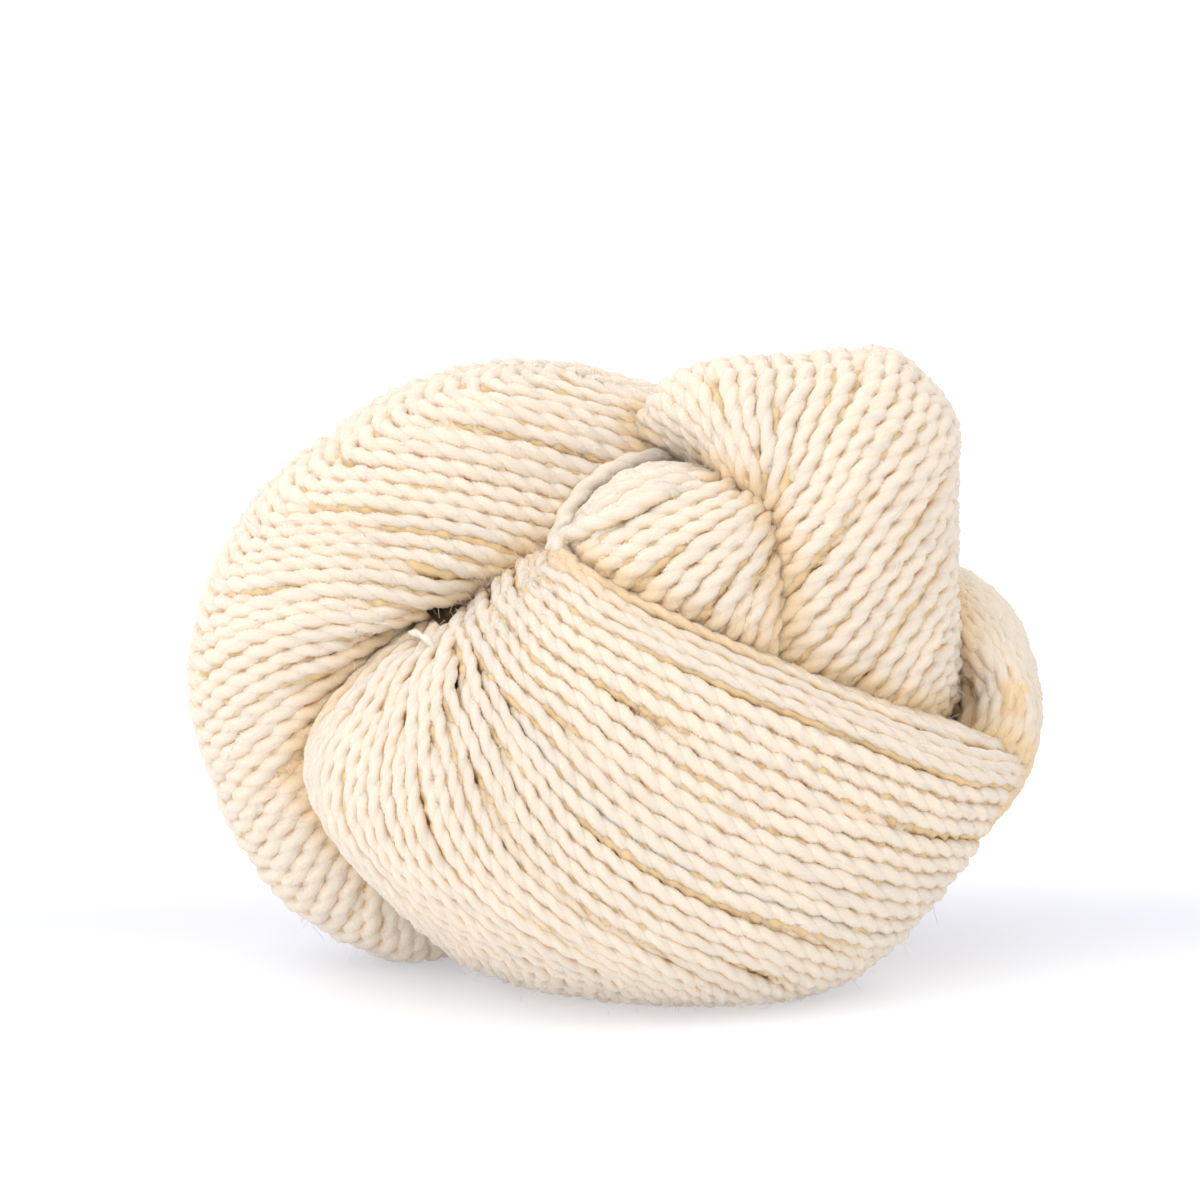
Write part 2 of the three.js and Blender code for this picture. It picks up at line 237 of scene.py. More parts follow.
NUB = [
    {"root": (18, -3, 54), "tip": (2, 9, 70), "front": 4, "back": 3, "bow": 4.5},
    {"root": (18, -3, 55), "tip": (3.5, 8, 74.3), "front": 11, "back": 9, "bow": 4.5},
    {"root": (18, -2.5, 56), "tip": (7.5, 7, 79), "front": 14, "back": 12, "bow": 3},
    {"root": (17.5, -2, 56), "tip": (14, 6.5, 81.5), "front": 15.5, "back": 14, "bow": 1.5},
    {"root": (16.5, -2, 55.5), "tip": (21.5, 6, 82), "front": 16, "back": 15, "bow": 0},
    {"root": (15.5, -2, 54), "tip": (29, 5, 83), "front": 17, "back": 16, "bow": 0},
    {"root": (14.5, -2, 50.5), "tip": (36, 4, 83.5), "front": 18, "back": 17, "bow": 0.5},
    {"root": (14, -2, 45), "tip": (41, 4, 79.5), "front": 19, "back": 18, "bow": 0.5},
    {"root": (13, -2, 38.5), "tip": (44.5, 4, 75), "front": 19, "back": 18, "bow": 0.5},
    {"root": (15.5, -1, 31.5), "tip": (45, 5, 67), "front": 19, "back": 18, "bow": 0.5},
    {"root": (22, 0, 28), "tip": (45, 6, 58.5), "front": 18, "back": 17, "bow": 0},
    {"root": (28.5, 1, 25), "tip": (45, 7, 50.5), "front": 17, "back": 15, "bow": 0},
    {"root": (31.5, 3, 23), "tip": (45.5, 8, 42), "front": 14, "back": 12, "bow": 0},
    {"root": (33, 5, 23.5), "tip": (46.5, 9, 35), "front": 6, "back": 5, "bow": 0},
]

SMALL_LOOP = [
    {"root": (11, -4, 69), "tip": (-5.5, -8, 62), "front": 3.5, "back": 4, "bow": 3},
    {"root": (14.5, -5, 68), "tip": (-7.5, -10, 57), "front": 10, "back": 12, "bow": 2},
    {"root": (17.5, -6, 67), "tip": (-2.5, -10, 50), "front": 13, "back": 16, "bow": 1},
    {"root": (20, -6, 65), "tip": (5, -10, 45), "front": 13.5, "back": 18, "bow": 0},
    {"root": (21.5, -5.5, 61.5), "tip": (12, -9, 41.5), "front": 13.5, "back": 16, "bow": 0},
    {"root": (23, -5, 56.5), "tip": (17.5, -7, 38), "front": 12.5, "back": 8, "bow": 0},
    {"root": (23.5, -4, 49.5), "tip": (22, -5, 36.5), "front": 8, "back": 3, "bow": 0},
]

# Each row is a section of the band that turns round behind the nub
REAR_BAND = [
    {"middle": (24, -4, 14.5), "high": 3, "deep": 4, "twist": 0},
    {"middle": (37, -1, 18), "high": 6, "deep": 8, "twist": 0},
    {"middle": (47, 3, 25.5), "high": 6.5, "deep": 10.5, "twist": 0},
    {"middle": (51, 8, 33.5), "high": 6, "deep": 12, "twist": 0},
    {"middle": (48, 14, 41), "high": 7, "deep": 13.5, "twist": -5},
    {"middle": (40, 19.5, 43), "high": 10, "deep": 15, "twist": -15},
    {"middle": (29, 22, 38), "high": 15, "deep": 16, "twist": -32},
    {"middle": (16, 23, 31), "high": 20, "deep": 15, "twist": -60},
    {"middle": (1, 20, 28), "high": 23, "deep": 14, "twist": -95},
    {"middle": (-13, 13, 29), "high": 20, "deep": 12, "twist": -125},
    {"middle": (-25, 6, 32), "high": 10, "deep": 7, "twist": -145},
]


def unit(vectors):
    """The same directions at length one."""
    return vectors / np.maximum(np.linalg.norm(vectors, axis=-1, keepdims=True), 1e-9)


def smooth(x):
    """A ramp from 0 to 1 with soft ends."""
    x = np.clip(x, 0.0, 1.0)
    return x * x * (3 - 2 * x)


def between(rows, names, places):
    """The tables' values at places between their rows, on smooth curves through them."""
    values = np.array([np.hstack([row[name] for name in names]) for row in rows], float)
    last = len(values) - 1
    here = np.clip(places.astype(int), 0, last - 1)
    f = (places - here)[:, None]
    a, b, c, d = (values[np.clip(here + k, 0, last)] for k in (-1, 0, 1, 2))
    square = 2 * a - 5 * b + 4 * c - d
    cube = 3 * b - a - 3 * c + d
    return 0.5 * (2 * b + (c - a) * f + square * f**2 + cube * f**3)


def facing(lines, towards):
    """The unit directions nearest to one direction that are square to some lines."""
    towards = np.array(towards, float)
    return unit(towards - lines * (lines @ towards)[:, None])


def fuller(x):
    """A sine or cosine, drawn out so that a turn is fuller than an ellipse."""
    return np.sign(x) * np.abs(x) ** FULLNESS


def lobe_points(rows, skew=0.0):
    """A lobe's surface, from root to root along each turn and from the first turn to the last."""
    places = np.linspace(0, len(rows) - 1, ACROSS)
    values = between(rows, ("root", "tip", "front", "back", "bow"), places)
    root, tip = values[:, 0:3], values[:, 3:6]
    front, back, bow = values[:, 6], values[:, 7], values[:, 8]
    chord = tip - root
    line = unit(chord)
    out = facing(line, (0, -1, 0))
    aside = np.cross(line, out)
    angle = np.linspace(0, 2 * math.pi, ALONG)[:, None]
    reach = (1 - fuller(np.cos(angle))) / 2
    stand = fuller(np.sin(angle)) * np.where(angle < math.pi, front, back)
    bowed = bow * 4 * reach * (1 - reach) * (1 + skew * (1 - 2 * reach))
    body = root + chord * reach[..., None] + out * stand[..., None] + aside * bowed[..., None]
    # The first and last turns close over their own middles
    closing = np.linspace(1, 0, CAP, endpoint=False)
    first, last = body[:, :1], body[:, -1:]
    to_first = (first[::-1] - first) / 2 * closing[None, :, None]
    to_last = (last[::-1] - last) / 2 * closing[None, ::-1, None]
    return np.concatenate([first + to_first, body, last + to_last], axis=1)


def band_points(rows):
    """The rear band's surface, along its strands and once round it."""
    places = np.linspace(0, len(rows) - 1, ALONG)
    values = between(rows, ("middle", "high", "deep", "twist"), places)
    middle, high, deep = values[:, 0:3], values[:, 3:4], values[:, 4:5]
    line = unit(np.gradient(middle, axis=0))
    inward = facing(line, (0, 1, 0))
    upward = np.cross(line, inward)
    angle = np.linspace(0, 2 * math.pi, ACROSS) + np.radians(values[:, 5:6])
    rise = (high * np.cos(angle))[..., None] * upward[:, None]
    return middle[:, None] + rise + (deep * np.sin(angle))[..., None] * inward[:, None]


def quads(rows, columns):
    """The faces of a sheet of points."""
    corner = (np.arange(rows - 1)[:, None] * columns + np.arange(columns - 1)).ravel()
    return np.stack([corner, corner + 1, corner + columns + 1, corner + columns], axis=1)


class Form:
    """A surface that strands follow: its points, its outward normals and a tree to find them by."""

    def __init__(self, name, points, looseness=1.0):
        self.name = name
        self.looseness = looseness
        self.points = points
        faces = quads(*points.shape[:2])
        a, b, c, d = (points.reshape(-1, 3)[faces[:, k]] for k in range(4))
        inside_out = np.sum(a * (np.cross(b, c) + np.cross(c, d))) < 0
        normals = unit(np.cross(np.gradient(points, axis=1), np.gradient(points, axis=0)))
        self.normals = -normals if inside_out else normals
        coarse = points[::TREE_STEP, ::TREE_STEP]
        faces = quads(*coarse.shape[:2])
        if inside_out:
            faces = faces[:, ::-1]
        self.tree = BVHTree.FromPolygons(coarse.reshape(-1, 3).tolist(), faces.tolist())

    def depth_at(self, point):
        """How far a point lies below the form's nearest skin, and less than nothing outside it."""
        point = Vector(point)
        place, normal, _, distance = self.tree.find_nearest(point)
        return math.copysign(distance, (place - point).dot(normal))

    def hides(self, point, depth):
        """Whether a point lies at least so deep inside the form."""
        point = Vector(point)
        place, normal, _, _ = self.tree.find_nearest(point)
        if (place - point).dot(normal) < depth:
            return False
        leaving = 0
        for heading in OUTLOOKS:
            _, normal, _, _ = self.tree.ray_cast(point, heading)
            leaving += normal is not None and normal.dot(heading) > 0
        return leaving > len(OUTLOOKS) / 2


def sinking_order(count):
    """When each strand of a row sinks, as numbers from 0 to 1 that lie far apart for neighbours."""
    ranks = np.zeros(count)
    for k in range(count):
        place, share = k, 0.5
        while place:
            ranks[k] += share * (place & 1)
            place >>= 1
            share /= 2
    return ranks


def local_mean(values, reach):
    """Each value of a row as the mean of those within reach of it."""
    padded = np.pad(values, ((0, 0), (reach, reach)), mode="edge")
    total = np.cumsum(np.pad(padded, ((0, 0), (1, 0))), axis=1)
    wide = 2 * reach + 1
    return (total[:, wide:] - total[:, :-wide]) / wide


def lay_strands(form, rng):
    """Where strands lie along a form's turns. Where it narrows, they thin and some of them sink.

    Gives where across the form the strands lie, where the gaps between them lie, how far each one
    is raised and how thick it is.
    """
    points = form.points
    along = unit(np.gradient(points, axis=0))
    steps = np.diff(points, axis=1)
    middles = (along[:, 1:] + along[:, :-1]) / 2
    steps = steps - middles * np.sum(steps * middles, axis=2, keepdims=True)
    spread = np.linalg.norm(steps, axis=2)
    reach = np.pad(np.cumsum(spread, axis=1), ((0, 0), (1, 0)))
    width = reach[:, -1:]

    # The strands lie side by side where each part of the form is widest
    spread = local_mean(spread, SPREAD_REACH)
    widest = np.max(spread, axis=0)
    passed = np.cumsum(widest)
    count = round(passed[-1] / (STRAND_SPACING * form.looseness))
    rows = np.interp((np.arange(count) + 0.5) / count * passed[-1], passed, np.arange(len(widest)))
    nearest = np.round(rows).astype(int)
    room = spread[:, nearest] / widest[nearest]
    thick = np.clip(np.sqrt(room), SQUEEZE, 1)

    # Some rise and the others sink, so that those at the outside just fill the form
    rank = sinking_order(count) + rng.uniform(-SINK_CHANCE, SINK_CHANCE, count)
    first_level = np.clip(rank, 0, 1) * (1 - SINK_SOFTNESS)

    def rising(level):
        return smooth((level - first_level) / SINK_SOFTNESS)

    levels = np.linspace(0, 1, SINK_LEVELS)
    shares = np.mean(rising(levels[:, None]), axis=1)
    raised = rising(np.interp(room / thick, shares, levels))
    taken = raised * thick
    passed = np.cumsum(taken, axis=1)
    columns = np.arange(points.shape[1])
    places = []
    for upto in (passed - taken / 2, passed):
        target = upto / passed[:, -1:] * width
        rows = [np.interp(target[u], reach[u], columns) for u in range(len(points))]
        places.append(np.stack(rows))
    return places[0], places[1], raised, thick


def at_places(sheet, place):
    """Values of a sheet at places across it, a row of places for each step along it."""
    low = np.clip(place.astype(int), 0, sheet.shape[1] - 2)
    part = (place - low)[..., None]
    rows = np.arange(len(sheet))[:, None]
    return sheet[rows, low] * (1 - part) + sheet[rows, low + 1] * part


def lengths_along(path):
    """How far along a path each of its points lies."""
    return np.concatenate([[0], np.cumsum(np.linalg.norm(np.diff(path, axis=0), axis=1))])


def wander(rng, length, size):
    """A slow random drift along a path."""
    total = np.zeros(len(length))
    for wave in DRIFT_WAVES:
        phase = rng.uniform(0, 2 * math.pi)
        total += np.sin(length * 2 * math.pi / wave + phase) * rng.uniform(LEAST_WAVE, 1)
    return total * size / len(DRIFT_WAVES)


def strand_paths(form, others, rng, place, raised, thick, depth):
    """The showing stretches of a form's strands, with how far each has sunk and how thick it is.

    With a depth they are those of the layer below, under the gaps between the others.
    """
    surface = at_places(form.points, place)
    outward = unit(at_places(form.normals, place))
    stretches = []
    edge = UNDER_EDGE if depth else 0
    least = UNDER_RAISED if depth else LEAST_RAISED
    for k in range(edge, place.shape[1] - edge):
        skin, out, up = surface[:, k], outward[:, k], raised[:, k]
        wide = thick[:, k] * form.looseness
        length = lengths_along(skin)
        aside = unit(np.cross(out, np.gradient(skin, axis=0)))
        sunk = (1 - up) * SINK_DEPTH + depth
        lift = wander(rng, length, DRIFT) - STRAND_ACROSS / 2 * wide - sunk
        middle = skin + out * lift[:, None] + aside * wander(rng, length, DRIFT)[:, None]
        middle[:, 2] = np.maximum(middle[:, 2], STRAND_ACROSS / 2)
        shows = up > least
        for step in np.nonzero(shows)[0]:
            hidden = any(other.hides(middle[step], HIDDEN_DEPTH + depth) for other in others)
            shows[step] = not hidden and form.depth_at(middle[step]) > HELD_DEPTH
            if shows[step]:
                # In a crease the sunk value grows, so that the finish paints shade there as where a
                # strand has sunk
                nearest = max(other.depth_at(middle[step]) for other in others)
                sunk[step] += CREASE_SHADE * smooth(1 + nearest / CREASE_REACH)
        ends = np.flatnonzero(np.diff(np.concatenate([[0], shows.astype(int), [0]])))
        for start, stop in zip(ends[::2], ends[1::2]):
            if length[stop - 1] - length[start] > SHORTEST_SHOWN * STRAND_ACROSS:
                shown = slice(start, stop)
                stretches.append((middle[shown], sunk[shown], wide[shown], out[shown]))
    return stretches


def even_steps(path, sunk, thick, out, step):
    """A path and its values at even steps of its length."""
    length = lengths_along(path)
    count = max(FEWEST_STEPS, round(length[-1] / step))
    at = np.linspace(0, length[-1], count + 1)
    values = np.column_stack([path, sunk, thick, out])
    even = np.stack([np.interp(at, length, column) for column in values.T], axis=1)
    return even[:, :3], even[:, 3], even[:, 4], even[:, 5:], at


def path_mesh(name, stretches, step, rng):
    """A mesh of bare paths, with what the spinning and the finish need to know at each point."""
    points, edges, outward = [], [], []
    # Tone is a chance number for each strand, which no finish here reads
    fields = {key: [] for key in ("twist", "thick", "sunk", "along", "tone")}
    start = 0
    for stretch in stretches:
        place, low, wide, away, at = even_steps(*stretch, step)
        points.append(place)
        outward.append(away)
        ranks = np.arange(start, start + len(place))
        edges.append(np.stack([ranks[:-1], ranks[1:]], axis=1))
        start += len(place)
        turns = at / (PLY_TURN * rng.uniform(*TURN_CHANCE)) + wander(rng, at, TURN_DRIFT)
        fields["twist"].append(2 * math.pi * (turns + rng.uniform(0, 1)))
        fields["thick"].append(wide * (1 + wander(rng, at, THICK_DRIFT)))
        fields["sunk"].append(low)
        fields["along"].append(at + rng.uniform(0, GRAIN_LENGTH))
        fields["tone"].append(np.full(len(place), rng.uniform(0, 1)))
    mesh = bpy.data.meshes.new(name)
    mesh.from_pydata((np.concatenate(points) * MM).tolist(), np.concatenate(edges).tolist(), [])
    for key, values in fields.items():
        layer = mesh.attributes.new(key, "FLOAT", "POINT")
        layer.data.foreach_set("value", np.concatenate(values).astype(np.float32))
    layer = mesh.attributes.new("outward", "FLOAT_VECTOR", "POINT")
    layer.data.foreach_set("vector", np.concatenate(outward).astype(np.float32).ravel())
    return mesh


def feed(tree, node, inputs):
    """Gives a node's inputs their values, or joins them to other nodes' outputs."""
    for name, value in inputs.items():
        if isinstance(value, bpy.types.NodeSocket):
            tree.links.new(value, node.inputs[name])
        else:
            node.inputs[name].default_value = value
    return node


def new_node(tree, kind, inputs=None, **settings):
    """A node with its settings and its inputs."""
    node = tree.nodes.new(kind)
    for key, value in settings.items():
        setattr(node, key, value)
    return feed(tree, node, inputs or {})


def maths(tree, operation, *values):
    """A calculation on outputs or numbers."""
    return new_node(tree, "ShaderNodeMath", dict(enumerate(values)), operation=operation).outputs[0]


def vector_maths(tree, operation, inputs, output):
    """A calculation on vectors."""
    return new_node(tree, "ShaderNodeVectorMath", inputs, operation=operation).outputs[output]


def path_value(tree, name, kind="FLOAT"):
    """One of a path's own values, in Geometry Nodes."""
    named = new_node(tree, "GeometryNodeInputNamedAttribute", {"Name": name}, data_type=kind)
    return named.outputs["Attribute"]


def kept_value(tree, geometry, name, value, kind="FLOAT_VECTOR"):
    """The geometry with one more value at each point, which the finish can read."""
    return new_node(tree, "GeometryNodeStoreNamedAttribute", {
        "Geometry": geometry,
        "Name": name,
        "Value": value,
    }, data_type=kind, domain="POINT").outputs[0]


def spinning_tree():
    """Geometry Nodes that spin a strand of two plies round every path."""
    tree = bpy.data.node_groups.new("spun_strand", "GeometryNodeTree")
    face = tree.interface
    face.new_socket("Geometry", in_out="INPUT", socket_type="NodeSocketGeometry")
    face.new_socket("Sides", in_out="INPUT", socket_type="NodeSocketInt")
    face.new_socket("Ply radius", in_out="INPUT", socket_type="NodeSocketFloat")
    face.new_socket("Ply offset", in_out="INPUT", socket_type="NodeSocketFloat")
    face.new_socket("Material", in_out="INPUT", socket_type="NodeSocketMaterial")
    face.new_socket("Geometry", in_out="OUTPUT", socket_type="NodeSocketGeometry")
    given = new_node(tree, "NodeGroupInput").outputs

    # The section: two round plies side by side, as one outline
    circle = new_node(tree, "GeometryNodeCurvePrimitiveCircle", {
        "Resolution": given["Sides"],
        "Radius": 1.0,
    }, mode="RADIUS").outputs[0]
    place = new_node(tree, "GeometryNodeInputPosition").outputs[0]
    split = new_node(tree, "ShaderNodeSeparateXYZ", {0: place}).outputs
    offset, radius = given["Ply offset"], given["Ply radius"]
    beside = maths(tree, "MULTIPLY", offset, maths(tree, "ABSOLUTE", split["X"]))
    drop = maths(tree, "MULTIPLY", offset, split["Y"])
    radius_square = maths(tree, "POWER", radius, 2.0)
    square = maths(tree, "SUBTRACT", radius_square, maths(tree, "MULTIPLY", drop, drop))
    reach = maths(tree, "ADD", beside, maths(tree, "SQRT", square))
    scaled = vector_maths(tree, "SCALE", {0: place, "Scale": reach}, "Vector")
    outline = new_node(tree, "GeometryNodeSetPosition", {
        "Geometry": circle,
        "Position": scaled,
    }).outputs[0]
    section = kept_value(tree, outline, "section", scaled)

    # The strand along its path
    path = new_node(tree, "GeometryNodeMeshToCurve", {"Mesh": given["Geometry"]}).outputs[0]
    twist = path_value(tree, "twist")
    turned = new_node(tree, "GeometryNodeSetCurveTilt", {"Curve": path, "Tilt": twist}).outputs[0]
    swept = new_node(tree, "GeometryNodeCurveToMesh", {
        "Curve": turned,
        "Profile Curve": section,
        "Scale": maths(tree, "MULTIPLY", path_value(tree, "thick"), MM),
        "Fill Caps": True,
    }).outputs[0]

    # Where each point lies in the strand, whose fibres run straight along it
    turned_back = new_node(tree, "ShaderNodeVectorRotate", {
        "Vector": path_value(tree, "section", "FLOAT_VECTOR"),
        "Angle": path_value(tree, "twist"),
    }, rotation_type="Z_AXIS").outputs[0]
    parts = new_node(tree, "ShaderNodeSeparateXYZ", {0: turned_back}).outputs
    fibre = new_node(tree, "ShaderNodeCombineXYZ", {
        "X": parts["X"],
        "Y": parts["Y"],
        "Z": path_value(tree, "along"),
    }).outputs[0]
    strand = kept_value(tree, swept, "fibre", fibre)

    # How squarely each point faces out of the hank, and not its neighbour
    normal = new_node(tree, "GeometryNodeInputNormal").outputs[0]
    outward = path_value(tree, "outward", "FLOAT_VECTOR")
    top = vector_maths(tree, "DOT_PRODUCT", {0: normal, 1: outward}, "Value")
    strand = kept_value(tree, strand, "top", top, "FLOAT")

    real = new_node(tree, "GeometryNodeRealizeInstances", {"Geometry": strand}).outputs[0]
    finished = new_node(tree, "GeometryNodeSetMaterial", {
        "Geometry": real,
        "Material": given["Material"],
    }).outputs[0]
    new_node(tree, "NodeGroupOutput", {"Geometry": finished})
    return tree


def plain_mesh(piece):
    """The piece with its modifiers worked into a mesh of its own."""
    graph = bpy.context.evaluated_depsgraph_get()
    made = bpy.data.meshes.new_from_object(
        piece.evaluated_get(graph), preserve_all_data_layers=True, depsgraph=graph
    )
    piece.modifiers.clear()
    piece.data = made
    places = np.empty(len(made.vertices) * 3, np.float32)
    made.vertices.foreach_get("co", places)
    places[2::3] = np.maximum(places[2::3], 0)  # the hank's weight flattens what it lies on
    made.vertices.foreach_set("co", places)
    made.name = piece.name
    made.polygons.foreach_set("use_smooth", np.ones(len(made.polygons), bool))
    return piece


def hank_piece(piece, node="hank"):
    """Ties a piece to the model's body and hides the model's part of that node."""
    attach(piece, "root")
    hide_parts(node)
    return piece


def spin(name, stretches, kind, material, tree, rng, node="hank"):
    """A piece of the hank, of one kind of yarn spun round its paths."""
    yarn = YARNS[kind]
    piece = bpy.data.objects.new(name, path_mesh(name, stretches, yarn["step"], rng))
    bpy.context.collection.objects.link(piece)
    spinner = piece.modifiers.new("spin", "NODES")
    spinner.node_group = tree
    values = {
        "Sides": yarn["sides"],
        "Ply radius": yarn["ply_radius"],
        "Ply offset": yarn["ply_offset"],
        "Material": material,
    }
    for socket in tree.interface.items_tree:
        if socket.in_out == "INPUT" and socket.name in values:
            spinner[socket.identifier] = values[socket.name]
    return hank_piece(plain_mesh(piece), node)


def shared_out(form, stretches):
    """A form's strands in as few pieces as keep within the limit on triangles, by name."""
    length = sum(lengths_along(path)[-1] for path, *_ in stretches)
    triangles = length / YARNS["strand"]["step"] * YARNS["strand"]["sides"] * 2
    pieces = math.ceil(triangles / PIECE_TRIANGLES)
    size = math.ceil(len(stretches) / pieces)
    for piece in range(pieces):
        number = f"_{piece + 1}" if pieces > 1 else ""
        yield f"strands_{form.name}{number}", stretches[piece * size:(piece + 1) * size]


def strand_value(tree, name, output="Fac"):
    """One of a strand's own values, in a finish."""
    return new_node(tree, "ShaderNodeAttribute", attribute_name=name).outputs[output]


def ramp(tree, value, start, stop, **settings):
    """How far a value has gone from start to stop, as 0 to 1."""
    return new_node(tree, "ShaderNodeMapRange", {
        "Value": value,
        "From Min": start,
        "From Max": stop,
    }, **settings).outputs["Result"]


def mixed(tree, share, one, other, blend="MIX"):
    """Two colours mixed by a share, or the first multiplied by the second."""
    one, other = ((*color, 1) if isinstance(color, tuple) else color for color in (one, other))
    return new_node(tree, "ShaderNodeMix", {
        "Factor": share,
        "A": one,
        "B": other,
    }, data_type="RGBA", blend_type=blend).outputs["Result"]


def wool_material():
    """Cream wool: fine fibres along the strand, with painted shade between its plies, in the depths
    and at its sides.
    """
    material = bpy.data.materials.new("cream_wool")
    material.use_nodes = True
    tree = material.node_tree
    tree.nodes.clear()

    # Fine streaks, drawn out along the strand
    stretched = new_node(tree, "ShaderNodeMapping", {
        "Vector": strand_value(tree, "fibre", "Vector"),
        "Scale": STREAK_FINENESS,
    }).outputs["Vector"]
    hairs = new_node(tree, "ShaderNodeTexNoise", {
        "Vector": stretched,
        "Scale": 1.0,
        "Detail": 4.0,
    }).outputs["Fac"]
    relief = new_node(tree, "ShaderNodeBump", {
        "Strength": 0.8,
        "Distance": STREAK_DEPTH * MM,
        "Height": hairs,
    }).outputs["Normal"]

    # Painted shade, warm and darker, in the groove between the plies, in the depths and at the
    # sides; warmer too in the streaks of the wool's own grain
    proud = vector_maths(tree, "LENGTH", {0: strand_value(tree, "section", "Vector")}, "Value")
    color = mixed(tree, ramp(tree, proud, *GROOVE), GROOVE_SHADE, PROUD_WOOL)
    sunk = ramp(tree, strand_value(tree, "sunk"), *SINKING)
    color = mixed(tree, sunk, color, SUNK_SHADE, "MULTIPLY")
    color = mixed(tree, ramp(tree, hairs, *STREAKS), color, STREAK_TINT, "MULTIPLY")
    color = mixed(tree, ramp(tree, strand_value(tree, "top"), *SIDES), SIDE_SHADE, color)

    finish = new_node(tree, "ShaderNodeBsdfPrincipled", {
        "Base Color": color,
        "Normal": relief,
        "Roughness": 0.85,
        "Specular IOR Level": 0.2,
        "Sheen Weight": 0.5,
        "Sheen Roughness": 0.5,
        "Subsurface Weight": 0.8,
        "Subsurface Radius": (1.0, 0.6, 0.3),
        "Subsurface Scale": 1.2 * MM,
    }, subsurface_method="BURLEY")
    new_node(tree, "ShaderNodeOutputMaterial", {"Surface": finish.outputs[0]})
    return material


def plain_material(name, color, roughness=0.9):
    """One even finish."""
    material = bpy.data.materials.new(name)
    material.use_nodes = True
    finish = material.node_tree.nodes["Principled BSDF"]
    feed(material.node_tree, finish, {"Base Color": (*color, 1), "Roughness": roughness})
    return material


def seen_at(across, down, forms):
    """The place on the forms that shows at a pixel of the photograph, and the normal there."""
    eye = (CAMERA_AIM + CAMERA_AWAY * CAMERA_DISTANCE) / MM
    scale = FIELD_ACROSS / CAMERA_DISTANCE / PHOTO_SIDE
    right = Vector((1, 0, 0)) * (across - PHOTO_SIDE / 2) * scale
    ray = right + CAMERA_UP * (PHOTO_SIDE / 2 - down) * scale - CAMERA_AWAY
    hits = [form.tree.ray_cast(eye, ray.normalized()) for form in forms]
    place, normal, _, _ = min((hit for hit in hits if hit[0]), key=lambda hit: hit[3])
    return place, normal


def laid_over(skin, out, lift, tuck, end):
    """One strand laid over a skin, whose ends bend down into it."""
    from_middle = np.abs(np.linspace(-1, 1, len(skin)))
    height = lift - (lift + tuck) * smooth((from_middle - (1 - end)) / end)
    level = np.zeros(len(skin))
    return skin + out * height[:, None], level, level + 1, out


def loose_paths(forms):
    """The loose strands, laid over the forms below them."""
    stretches = []
    for rows in LOOSE_STRANDS.values():
        along = np.linspace(0, len(rows) - 1, LOOSE_POINTS)
        seen = [seen_at(*pixel, forms) for pixel in between(rows, ("across", "down"), along)]
        skin = np.array([place for place, _ in seen])
        out = np.array([normal for _, normal in seen])
        for _ in range(LOOSE_SMOOTHING):
            skin[1:-1] = (skin[:-2] + skin[1:-1] + skin[2:]) / 3
            out[1:-1] = (out[:-2] + out[1:-1] + out[2:]) / 3
        stretches.append(laid_over(skin, unit(out), LOOSE_LIFT, LOOSE_TUCK, LOOSE_END))
    return stretches


def tie_path(front):
    """The tie's path over the front lobe's strands, with its ends tucked down between them."""
    turn = round(TIE_TURN / 360 * (ALONG - 1))
    rows = np.linspace(TIE_FROM_ROW, TIE_TO_ROW, TIE_POINTS)
    columns = CAP + np.round(rows / (len(FRONT_LOBE) - 1) * (ACROSS - 1)).astype(int)
    skin, out = front.points[turn, columns], unit(front.normals[turn, columns])
    return [laid_over(skin, out, TIE_LIFT, TIE_TUCK, TIE_END)]


def fibre_paths(stretches, rng, count, near=None):
    """Fine fibres that stand off the strands, each from a chance place and on its own curve."""
    skin = np.concatenate([path for path, *_ in stretches])
    out = np.concatenate([away for *_, away in stretches])
    level = np.concatenate([sunk for _, sunk, _, _ in stretches])
    along = np.concatenate([unit(np.gradient(path, axis=0)) for path, *_ in stretches])
    fit = level < CREASE_SHADE
    if near is not None:
        fit &= np.linalg.norm(skin - np.array(near, float), axis=1) < RIM_REACH
    fibres = []
    share = np.linspace(0, 1, FIBRE_POINTS)[:, None]
    for k in rng.choice(np.flatnonzero(fit), count):
        side = unit(out[k] + rng.normal(0, FIBRE_SIDE, 3))
        start = skin[k] + side * STRAND_ACROSS * FIBRE_FOOT
        reach = rng.uniform(*FIBRE_LENGTHS)
        heading = along[k] * rng.normal(0, 1) + out[k] * rng.uniform(*FIBRE_RISE)
        heading = unit(heading + rng.normal(0, FIBRE_STRAY, 3))
        curl = rng.normal(0, FIBRE_CURL, 3) - out[k] * FIBRE_DROOP
        path = start + reach * (heading * share + curl * share**2)
        path[:, 2] = np.maximum(path[:, 2], 2 * YARNS["fibre"]["ply_radius"])
        flat = np.zeros(FIBRE_POINTS)
        fibres.append((path, flat, flat + 1, np.repeat(out[k][None], FIBRE_POINTS, axis=0)))
    return fibres


def make_camera():
    """The photograph's view: level with the lobes, looking a little down."""
    camera = bpy.data.objects.new("camera", bpy.data.cameras.new("camera"))
    bpy.context.collection.objects.link(camera)
    camera.location = CAMERA_AIM + CAMERA_AWAY * CAMERA_DISTANCE
    camera.rotation_euler = (math.pi / 2 - CAMERA_TILT, 0, 0)
    camera.data.sensor_width = SENSOR
    camera.data.lens = SENSOR * CAMERA_DISTANCE / FIELD_ACROSS
    bpy.context.scene.camera = camera


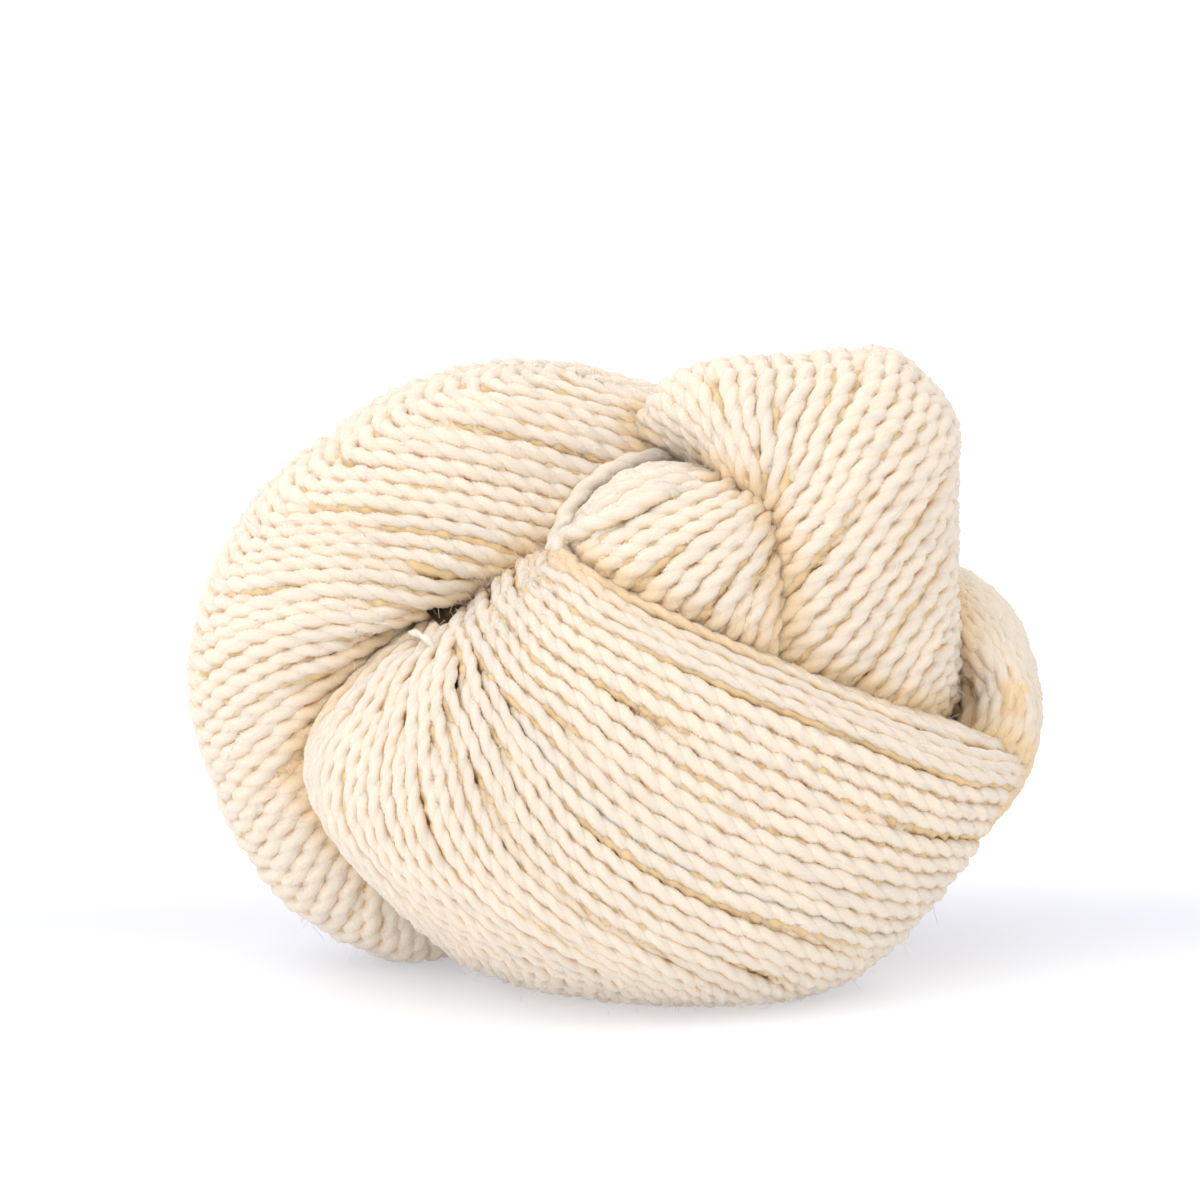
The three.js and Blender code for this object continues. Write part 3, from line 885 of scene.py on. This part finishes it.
def make_light():
    """An even white studio, brightest from above on the left, and one soft lamp."""
    world = bpy.data.worlds.new("studio")
    world.use_nodes = True
    tree = world.node_tree
    direction = new_node(tree, "ShaderNodeTexCoord").outputs["Generated"]
    towards = vector_maths(tree, "DOT_PRODUCT", {0: direction, 1: LIGHT_FROM}, "Value")
    strength = new_node(tree, "ShaderNodeMapRange", {
        "Value": towards,
        "From Min": LIGHT_FADE[0],
        "From Max": LIGHT_FADE[1],
        "To Min": DARK_SIDE,
        "To Max": LIGHT_SIDE,
    }, interpolation_type="SMOOTHSTEP").outputs["Result"]
    feed(tree, tree.nodes["Background"], {"Color": (1, 1, 1, 1), "Strength": strength})
    bpy.context.scene.world = world
    bpy.context.scene.view_settings.view_transform = "Standard"

    lamp = bpy.data.lights.new("top_light", "AREA")
    lamp.size = LAMP_ACROSS
    lamp.energy = LAMP_POWER
    holder = bpy.data.objects.new("top_light", lamp)
    bpy.context.collection.objects.link(holder)
    holder.location = LAMP_PLACE
    aim = CAMERA_AIM - Vector(LAMP_PLACE)
    holder.rotation_euler = aim.to_track_quat("-Z", "Y").to_euler()


def floor_material():
    """A pale floor with a faint cool band across it, level with the hank."""
    material = plain_material("pale_floor", PALE_FLOOR, FLOOR_ROUGHNESS)
    tree = material.node_tree
    place = new_node(tree, "ShaderNodeTexCoord").outputs["Object"]
    depth = new_node(tree, "ShaderNodeSeparateXYZ", {0: place}).outputs["Y"]
    off = maths(tree, "ABSOLUTE", maths(tree, "SUBTRACT", depth, BAND_MIDDLE))
    fade = ramp(tree, off, 0, BAND_REACH, interpolation_type="SMOOTHSTEP")
    cool = mixed(tree, fade, COOL_FLOOR, PALE_FLOOR)
    # The floor glows with its own colour: a painted light that lifts the shadows on it and lights
    # the hank from below
    feed(tree, tree.nodes["Principled BSDF"], {
        "Base Color": cool,
        "Emission Color": cool,
        "Emission Strength": FLOOR_GLOW,
    })
    return material


def make_floor():
    """A wide pale floor."""
    mesh = bpy.data.meshes.new("floor")
    far = FLOOR_REACH
    corners = [(-far, -far, 0), (far, -far, 0), (far, far, 0), (-far, far, 0)]
    mesh.from_pydata(corners, [], [(0, 1, 2, 3)])
    floor = bpy.data.objects.new("floor", mesh)
    mesh.materials.append(floor_material())
    bpy.context.collection.objects.link(floor)


def core_piece(material):
    """What lies below the strands, as a shrunken copy of the wound form without its thin edges."""
    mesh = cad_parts["hank"].data.copy()
    core = bpy.data.objects.new("core", mesh)
    bpy.context.collection.objects.link(core)
    work = bmesh.new()
    work.from_mesh(mesh)
    bmesh.ops.remove_doubles(work, verts=work.verts, dist=CORE_MERGE * MM)
    tree = BVHTree.FromBMesh(work)
    work.normal_update()
    moved = []
    for vertex in work.verts:
        start = vertex.co - vertex.normal * CORE_FOOT * MM
        _, _, _, across = tree.ray_cast(start, -vertex.normal)
        inset = min(CORE_DEPTH * MM, CORE_SHARE * (across or 0))
        moved.append(vertex.co - vertex.normal * inset)
    for vertex, place in zip(work.verts, moved):
        vertex.co = place
    thin = [vertex for vertex in work.verts if tree.find_nearest(vertex.co)[3] < CORE_COVER * MM]
    bmesh.ops.delete(work, geom=thin, context="VERTS")
    bmesh.ops.holes_fill(work, edges=[edge for edge in work.edges if edge.is_boundary], sides=0)
    bmesh.ops.recalc_face_normals(work, faces=work.faces)
    work.to_mesh(mesh)
    work.free()
    mesh.materials.clear()
    mesh.materials.append(material)
    return hank_piece(core)


make_camera()
rng = np.random.default_rng(SEED)
forms = [
    Form("left", lobe_points(LEFT_LOBE), LOOSER),
    Form("front", lobe_points(FRONT_LOBE, FRONT_SKEW)),
    Form("nub", lobe_points(NUB), LOOSER),
    Form("small", lobe_points(SMALL_LOOP), LOOSER),
    Form("rear", band_points(REAR_BAND), LOOSER),
]
front = forms[1]
wool = wool_material()
spinner = spinning_tree()
laid, below = [], []
for form in forms:
    others = [other for other in forms if other is not form]
    strands, gaps, raised, thick = lay_strands(form, rng)
    outer = strand_paths(form, others, rng, strands, raised, thick, 0.0)
    laid += outer
    below += strand_paths(form, others, rng, gaps, raised, thick, UNDER_DEPTH)
    for name, stretches in shared_out(form, outer):
        spin(name, stretches, "strand", wool, spinner, rng)
if below:
    spin("strands_below", below, "below", plain_material("shaded_wool", SHADED_WOOL), spinner, rng)
spin("strands_loose", loose_paths(forms), "strand", wool, spinner, rng)
cotton = plain_material("tie_cotton", TIE_COTTON)
spin("tie_thread", tie_path(front), "tie", cotton, spinner, rng, "tie")
fibres = fibre_paths(laid, rng, FIBRE_COUNT) + fibre_paths(laid, rng, RIM_FIBRES, RIM_PLACE)
spin("fuzz", fibres, "fibre", plain_material("fine_fibres", FINE_FIBRES), spinner, rng)
# The core's colour is painted shade, dark gold as in the depths between the strands
core_piece(plain_material("shaded_core_wool", SHADED_CORE))

make_light()
make_floor()
